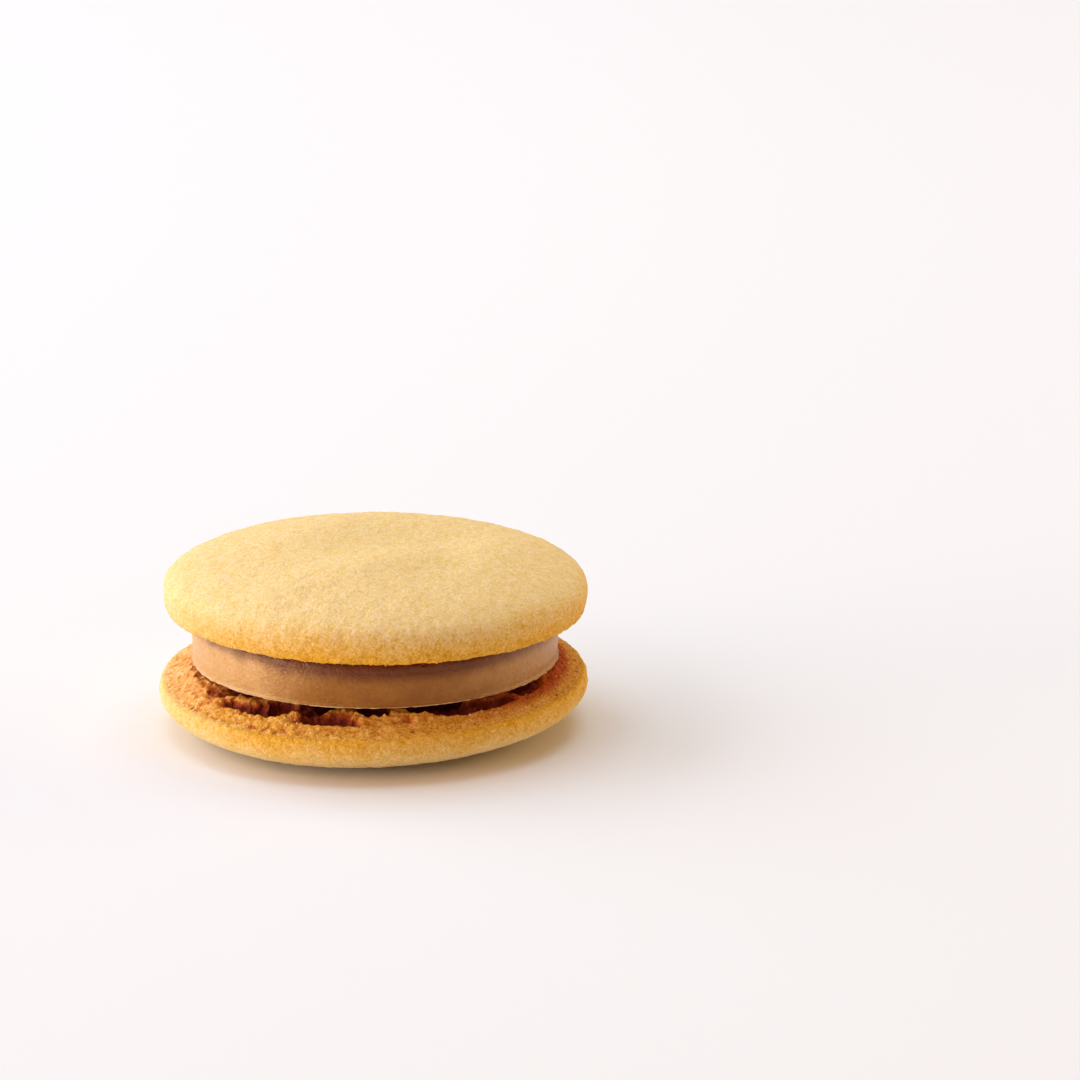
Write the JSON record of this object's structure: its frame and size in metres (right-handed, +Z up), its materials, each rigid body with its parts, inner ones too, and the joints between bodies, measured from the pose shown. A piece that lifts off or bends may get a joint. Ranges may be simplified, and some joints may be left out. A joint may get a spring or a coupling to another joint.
{
  "type": "sandwich cookie",
  "caption": "Round sandwich cookie of thin domed golden biscuits, baked faces inwards, round a disc of light brown sugar cream.",
  "frame": {"origin": "middle of the small flat spot that the lower biscuit's crust stands on", "axes": "+Z up through the three layers; -Y is the front, where the lower biscuit reaches out furthest past the cream"},
  "size_m": [0.046, 0.0464, 0.02],
  "materials": {
    "lower_crumb": "matt, finely grained golden biscuit with a torn, porous, deeper brown baked face",
    "cream": "smooth light brown sugar cream with a soft satin sheen",
    "upper_crumb": "matt, finely grained pale golden crust, deeper gold towards its rim"
  },
  "bodies": {
    "root": {"lower_biscuit": "lower_crumb", "cream_filling": "cream", "upper_biscuit": "upper_crumb"}
  },
  "joints": []
}
